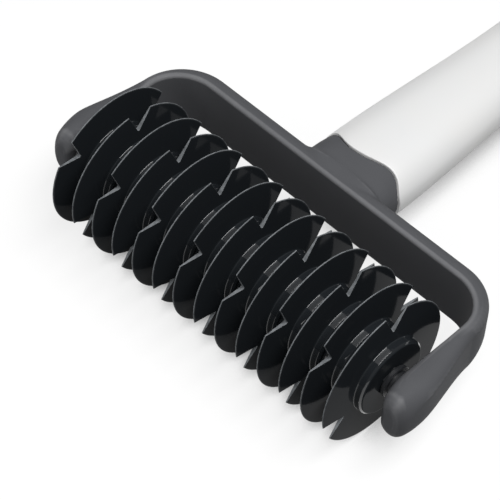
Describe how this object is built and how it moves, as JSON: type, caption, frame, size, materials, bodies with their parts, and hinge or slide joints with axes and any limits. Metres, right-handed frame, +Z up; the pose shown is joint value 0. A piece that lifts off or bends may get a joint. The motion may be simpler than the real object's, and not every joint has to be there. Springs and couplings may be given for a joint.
{
  "type": "lattice roller cutter",
  "caption": "Hand roller for slitting dough into a lattice: a stack of thin notched discs on one axle, turning freely between the arms of a U-shaped yoke on an oval handle.",
  "frame": {"origin": "on the table under the middle of the bounding box, with the tool lying on its discs and handle end", "axes": "+X along the axle, +Y from the roller toward the handle's end, +Z up from the table"},
  "size_m": [0.126, 0.1934, 0.0419],
  "materials": {
    "grey_frame": "dark grey, fine matt moulded surface",
    "white_handle": "white, satin gloss moulded surface",
    "black_disc": "black, polished, with bright worn edges",
    "black_axle": "black, smooth"
  },
  "bodies": {
    "frame": {"yoke": "grey_frame", "handle_shell": "white_handle"},
    "roller": {"axle": "black_axle", "cutter_disc_01": "black_disc", "cutter_disc_02": "black_disc", "cutter_disc_03": "black_disc", "cutter_disc_04": "black_disc", "cutter_disc_05": "black_disc", "cutter_disc_06": "black_disc", "cutter_disc_07": "black_disc", "cutter_disc_08": "black_disc", "cutter_disc_09": "black_disc", "cutter_disc_10": "black_disc", "cutter_disc_11": "black_disc", "cutter_disc_12": "black_disc", "cutter_disc_13": "black_disc", "cutter_disc_14": "black_disc"}
  },
  "joints": [
    {"name": "roller_spin", "type": "hinge", "parent": "frame", "child": "roller", "pos_m": [0, -0.07579, 0.021], "axis": [1, 0, 0], "continuous": true}
  ]
}
